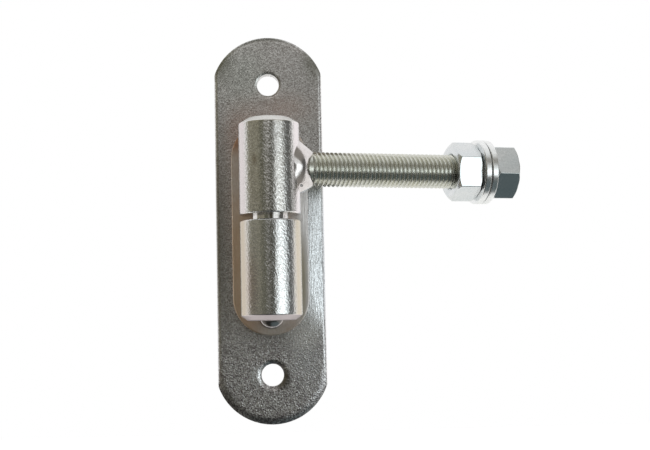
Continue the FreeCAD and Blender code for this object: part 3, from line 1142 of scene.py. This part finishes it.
@dataclass
class StudWeld:
    """Two-run weld round the stud's root, sizes in millimetres."""

    axis: Axis
    barrel_radius: float
    rise_leg: float = 12.5
    lift: float = 0.7
    side_leg: float = 10.6
    rise_toe: float = 20.4
    side_toe: float = 16.7
    toe_radius: float = 7.3
    wall: float = 1.0
    sink: float = 0.25
    squareness: float = 2.45
    lobe: float = 1.35
    lobe_shift: float = 0.25
    lobe_lift: float = 0.6
    lobe_rest: float = 0.1
    waver: float = 0.1
    edge_waves: tuple[Pair, Pair] = ((3, 0.6), (5, 1.9))
    toe_waves: tuple[Pair, Pair] = ((2, 0.4), (5, 0.0))
    pit_depth: float = 0.8
    pit_size: float = 0.45
    pit_place: Pair = (138.0, 0.22)
    columns: int = 240
    rows: int = 60
    finish: PlatedSteel = WELD_ZINC

    def build(self) -> None:
        """Builds the weld as a skirt from the barrel to the stud.

        At each angle round the stud a straight line runs from the edge on the barrel to the
        toe on the stud, both of which differ between top and side and waver a little. The edge
        on the barrel is a rounded square: its radius is divided by the sum of the powers of
        the angle's cosine and sine, to the root of that power. At the sides the line is bowed
        out by a parabola, most of all a little above the stud's axis, whose crest is nearer to
        the barrel below than above. A small round pit is sunk into the weld's lower front.
        """
        angle = np.linspace(0, FULL_TURN, self.columns, endpoint=False)[None, :]
        share = np.linspace(0, 1, self.rows)[:, None]
        up, side = np.cos(angle), np.sin(angle)
        leg = self.rise_leg + (self.side_leg - self.rise_leg) * side**2 + self.lift * up
        leg = leg + self._wavering(angle, self.edge_waves)
        power = self.squareness
        leg = leg / (np.abs(up) ** power + np.abs(side) ** power) ** (1 / power)
        base = self._on_barrel(leg * side)
        toe = self.rise_toe + (self.side_toe - self.rise_toe) * side**2
        toe = toe + self._wavering(angle, self.toe_waves)
        run, fall = toe - base, leg - self.toe_radius
        size = np.hypot(run, fall)
        radius = leg - fall * share
        distance = base + run * share

        along = share ** (1 + self.lobe_shift * up)
        swell = (1 - self.lobe_rest) * side**4 * (1 + self.lobe_lift * up)
        bulge = self.lobe * (self.lobe_rest + swell) * 4 * along * (1 - along)
        pit_angle, pit_share = math.radians(self.pit_place[0]), self.pit_place[1]
        turn_off = np.abs(np.angle(np.exp(1j * (angle - pit_angle)))) * radius
        off = np.hypot(turn_off, (share - pit_share) * size)
        bulge = bulge - self.pit_depth * np.exp(-((off / self.pit_size) ** 2))
        radius = radius + bulge * run / size
        distance = distance + bulge * fall / size

        skirt = self.axis.place(radius, angle, distance)
        bore = self.toe_radius - self.wall
        inner = self.axis.place(bore, angle, distance[-1:])
        root = self.axis.place(bore, angle, self._on_barrel(bore * side))
        skin = Skin().add(np.concatenate([skirt, inner, root, skirt[:1]]), around=True)
        skin.piece("weld_stud_root", "stud_weld", self.finish, sharp_deg=60.0)

    def _wavering(self, angle: Array, waves: tuple[Pair, Pair]) -> Array:
        """Sums sines of the angle, each with its number of waves round the stud and its phase."""
        return self.waver * sum(np.sin(count * angle + phase) for count, phase in waves)

    def _on_barrel(self, aside: Array) -> Array:
        """Gives the distance from the hinge axis at which the weld sits in the barrel."""
        return np.sqrt(self.barrel_radius**2 - aside**2) - self.sink


@dataclass
class NutAndWasher:
    """A hexagon nut with its plain washer, sizes in millimetres."""

    axis: Axis
    side: Side
    face_inset: float = 0.5
    face_drop: float = 0.2
    cut_start: float = 0.25
    cut_ease: float = 0.3
    chamfer_deg: float = 36.0
    end_facing: float = 0.2
    corner_round: float = 0.5
    bore_chamfer: float = 0.9
    edge_ease: float = 0.2
    rim_ease: float = 0.5
    bore_ease: float = 0.25
    corner_steps: int = 7
    flat_steps: int = 21
    washer_columns: int = 160
    nut_finish: PlatedSteel = FASTENER_ZINC
    washer_finish: PlatedSteel = WASHER_ZINC

    def build(self) -> None:
        """Builds the nut and its washer."""
        self._nut()
        self._washer()

    def _nut(self) -> None:
        """Builds the nut as rings whose radius follows the hexagon.

        On a flat the hexagon's radius is half the width across flats over the cosine of the
        angle from the flat's middle. Near a corner it is the distance to an arc that touches
        both flats. The chamfer takes a little off the flats' ends and cuts the corners by its
        slope, from a radius just past the flats on, along a hyperbola that eases it in. The
        corners point as the solid's do. The outer nut's far end is faced back a little.
        """
        node = f"{self.side.value}_nut"
        low, high, bore, corner, corner_angle = self.axis.reach(node)
        if self.side is Side.OUTER:
            high = high - self.end_facing
        sector, half_sector = math.pi / 3, math.pi / 6
        flat = corner * math.cos(half_sector)
        straight = flat - self.corner_round
        centre = straight / math.cos(half_sector)
        touch = half_sector - math.atan(straight * math.tan(half_sector) / flat)
        # Two steps just past the arc's end keep the flat beside it flat to the light.
        early = touch * np.append(np.linspace(0, 1, self.corner_steps), 1.3)
        along_flat = np.linspace(1.6 * touch, sector - 1.6 * touch, self.flat_steps)
        steps = np.concatenate([early, along_flat, sector - early[:0:-1]])
        angle = (np.arange(6)[:, None] * sector + steps[None, :]).ravel()[None, :]
        from_flat = angle % sector - half_sector
        from_corner = half_sector - np.abs(from_flat)
        arc = self.corner_round**2 - (centre * np.sin(from_corner)) ** 2
        rounded = centre * np.cos(from_corner) + np.sqrt(np.maximum(arc, 0))
        outside = np.where(from_corner < touch, rounded, flat / np.cos(from_flat))

        face, ease = flat - self.face_inset, self.edge_ease
        past = outside - flat - self.cut_start
        cut = (past + np.hypot(past, self.cut_ease)) / 2
        drop = self.face_drop + cut * math.tan(math.radians(self.chamfer_deg))
        slope = drop / (outside - face)
        # Radius of each ring of one half of the nut, and how far it lies in from the nut's end.
        half = [
            (bore, self.bore_chamfer),
            (bore + self.bore_chamfer, 0),
            (face - 2 * ease, 0),
            (face - ease, 0),
            (face + 0.5 * ease, 0.25 * ease),
            (face + ease, ease * slope),
            (outside - ease, drop - ease * slope),
            (outside - 0.3 * ease, drop + 0.1 * ease),
            (outside, drop + ease),
            (outside, drop + 2 * ease),
        ]
        rings, inset = (np.concatenate([row + 0 * angle for row in rows]) for rows in zip(*half))
        radius = np.concatenate([rings, rings[::-1], rings[:1]])
        distance = np.concatenate([low + inset, high - inset[::-1], low + inset[:1]])
        grid = self.axis.place(radius, angle + corner_angle, distance)
        skin = Skin().add(grid, around=True)
        skin.piece(f"nut_{self.side.value}", node, self.nut_finish)

    def _washer(self) -> None:
        """Builds the washer, a ring with rounded edges."""
        node = f"{self.side.value}_washer"
        low, high, bore, rim, _ = self.axis.reach(node)
        profile = eased([
            (bore, low, self.bore_ease),
            (rim, low, self.rim_ease),
            (rim, high, self.rim_ease),
            (bore, high, self.bore_ease),
        ])
        skin = Skin().turned(self.axis, profile, self.washer_columns)
        skin.piece(f"washer_{self.side.value}", node, self.washer_finish)


def heading(azimuth_deg: float, elevation_deg: float) -> Triple:
    """Gives a direction as seen from the part.

    Args:
        azimuth_deg: Angle from the camera's side towards +X.
        elevation_deg: Angle upwards.

    Returns:
        Vector of length 1.
    """
    azimuth, elevation = math.radians(azimuth_deg), math.radians(elevation_deg)
    flat = math.cos(elevation)
    return (flat * math.sin(azimuth), -flat * math.cos(azimuth), math.sin(elevation))


@dataclass(frozen=True)
class Glow:
    """Round patch of the surroundings, seen from the part.

    It fades out from the inner angle to the outer one. Colour is linear light.
    """

    azimuth_deg: float
    elevation_deg: float
    inner_deg: float
    outer_deg: float
    colour: Triple


@dataclass
class Studio:
    """Floor, surroundings, lamp and camera, in metres where no other unit is named.

    floor_in_metal and floor_in_camera are the floor's own light as each of them sees it.
    """

    floor_z: float = -0.2
    floor_box: tuple[float, float, float, float] = (-1.0, 1.0, 0.02, 1.4)
    floor_colour: str = "#ededeb"
    floor_in_metal: float = 0.35
    floor_in_camera: float = 0.75
    camera_mm: Triple = (-1.66, -585.07, -50.52)
    target_mm: Triple = (24.5, -25.55, -0.54)
    roll_deg: float = -1.22
    focal_pixels: float = 1253.3
    image_width: int = 650
    sensor_mm: float = 36.0
    nearest_seen: float = 0.01
    lamp_azimuth_deg: float = 43.0
    lamp_elevation_deg: float = -5.0
    lamp_distance: float = 1.1
    lamp_size: Pair = (0.8, 0.37)
    lamp_light: float = 0.9
    lamp_colour: str = "#f2fcff"
    room: Triple = (0.26, 0.25, 0.225)
    glows: tuple[Glow, ...] = (
        Glow(-68, 10, 30, 55, (0.28, 0.264, 0.2)),
        Glow(-64, -26, 16, 40, (0.12, 0.112, 0.1)),
        Glow(-6, -2, 14, 36, (0.3, 0.286, 0.266)),
        Glow(-24, 4, 5, 20, (0.105, 0.103, 0.075)),
        Glow(-2, 24, 10, 19, (0.68, 0.67, 0.65)),
        Glow(7, 2, 8, 17, (0.048, 0.047, 0.031)),
        Glow(80, 4, 13, 30, (0.11, 0.11, 0.105)),
        Glow(20, 79, 26, 44, (0.82, 0.83, 0.82)),
        Glow(-4, 52, 12, 22, (0.09, 0.09, 0.07)),
        Glow(0, -46, 30, 45, (0.02, 0.02, 0.018)),
        Glow(42, -56, 15, 35, (0.09, 0.115, 0.12)),
        Glow(36, 2, 11, 23, (0.8, 0.825, 0.815)),
        Glow(180, 0, 82, 90, (0.95, 0.945, 0.94)),
    )

    def build(self) -> None:
        """Sets up the floor, the surroundings, the lamp and the camera."""
        bpy.context.scene.view_settings.view_transform = "Standard"
        self._floor()
        self._world()
        self._lamp()
        self._camera()

    def _floor(self) -> None:
        """Adds a pale floor under the part, white to the camera where no shadow falls."""
        left, right, front, back = self.floor_box
        mesh = bpy.data.meshes.new("floor")
        corners = [(left, front), (right, front), (right, back), (left, back)]
        mesh.from_pydata([(x, y, self.floor_z) for x, y in corners], [], [(0, 1, 2, 3)])
        paper = bpy.data.materials.new("pale_paper_floor")
        paper.use_nodes = True
        tree = paper.node_tree
        tree.nodes.clear()
        path = add_node(tree, "LightPath").outputs
        strength = 0.0
        for ray, light in (("Glossy", self.floor_in_metal), ("Camera", self.floor_in_camera)):
            inputs = {0: path[f"Is {ray} Ray"], 1: light, 2: strength}
            strength = add_node(tree, "Math", inputs, operation="MULTIPLY_ADD").outputs[0]
        glow = add_node(tree, "Emission", {"Strength": strength})
        dull = add_node(tree, "BsdfDiffuse", {"Color": linear(self.floor_colour)})
        both = add_node(tree, "AddShader", {0: glow.outputs[0], 1: dull.outputs[0]})
        add_node(tree, "OutputMaterial", {"Surface": both.outputs[0]})
        mesh.materials.append(paper)
        floor = added("floor", mesh)

    def _world(self) -> None:
        """Makes the surroundings: white to the camera, a dim room and pale sweep to the metal."""
        world = bpy.data.worlds.new("studio")
        bpy.context.scene.world = world
        world.use_nodes = True
        tree = world.node_tree
        tree.nodes.clear()
        way = add_node(tree, "TexCoord").outputs["Generated"]
        colour = add_node(tree, "RGB").outputs[0]
        colour.default_value = (*self.room, 1.0)
        for glow in self.glows:
            inputs = {0: way, 1: heading(glow.azimuth_deg, glow.elevation_deg)}
            facing = add_node(tree, "VectorMath", inputs, operation="DOT_PRODUCT").outputs["Value"]
            span = tuple(math.cos(math.radians(edge)) for edge in (glow.outer_deg, glow.inner_deg))
            share = ramp(tree, facing, span, shape="SMOOTHSTEP")
            colour = mix(tree, share, colour, (*glow.colour, 1.0))
        seen = add_node(tree, "LightPath").outputs["Is Camera Ray"]
        shown = mix(tree, seen, colour, (1.0, 1.0, 1.0, 1.0))
        back = add_node(tree, "Background", {"Color": shown})
        add_node(tree, "OutputWorld", {"Surface": back.outputs[0]})

    def _lamp(self) -> None:
        """Adds the soft lamp right of the camera; its power follows from its light and area."""
        way = Vector(heading(self.lamp_azimuth_deg, self.lamp_elevation_deg))
        light = bpy.data.lights.new("soft_lamp", "AREA")
        light.shape = "RECTANGLE"
        light.size, light.size_y = self.lamp_size
        light.energy = self.lamp_light * math.pi * light.size * light.size_y
        light.color = linear(self.lamp_colour)[:3]
        lamp = added("soft_lamp", light)
        lamp.location = way * self.lamp_distance
        lamp.rotation_euler = (-way).to_track_quat("-Z", "Y").to_euler()
        lamp.visible_camera = False

    def _camera(self) -> None:
        """Adds the camera at its place, turned to its target and rolled about its line of sight."""
        lens = bpy.data.cameras.new("camera")
        lens.sensor_fit = "HORIZONTAL"
        lens.sensor_width = self.sensor_mm
        lens.lens = self.focal_pixels * self.sensor_mm / self.image_width
        lens.clip_start = self.nearest_seen
        place = Vector(self.camera_mm) * MM
        sight = (Vector(self.target_mm) * MM - place).normalized()
        level = sight.cross(Vector((0, 0, 1))).normalized()
        right = Matrix.Rotation(-math.radians(self.roll_deg), 3, sight) @ level
        up = right.cross(sight)
        turn = Matrix((right, up, -sight)).transposed().to_4x4()
        camera = added("camera", lens)
        camera.matrix_world = Matrix.Translation(place) @ turn
        bpy.context.scene.camera = camera


def main() -> None:
    """Builds the pieces and the studio."""
    logging.basicConfig(level=logging.INFO, format="%(message)s")
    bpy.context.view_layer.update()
    hinge_place = np.array(joint_of("hinge_swing")["pos_m"])
    upright = np.array([0.0, 0.0, 1.0])
    hinge_axis = Axis(hinge_place * (1, 1, 0), upright, np.array([0.0, -1.0, 0.0]))
    arm_axis = Axis(hinge_place, np.array(joint_of("inner_nut_travel")["axis"]), upright)

    BackPlate().build()
    SpacerPad().build()
    Barrels(hinge_axis).build()
    BarrelWeld().build()
    ThreadedStud(arm_axis).build()
    StudWeld(arm_axis, hinge_axis.reach("upper_barrel").outer).build()
    for side in Side:
        NutAndWasher(arm_axis, side).build()
    Studio().build()


if __name__ == "__main__":
    main()
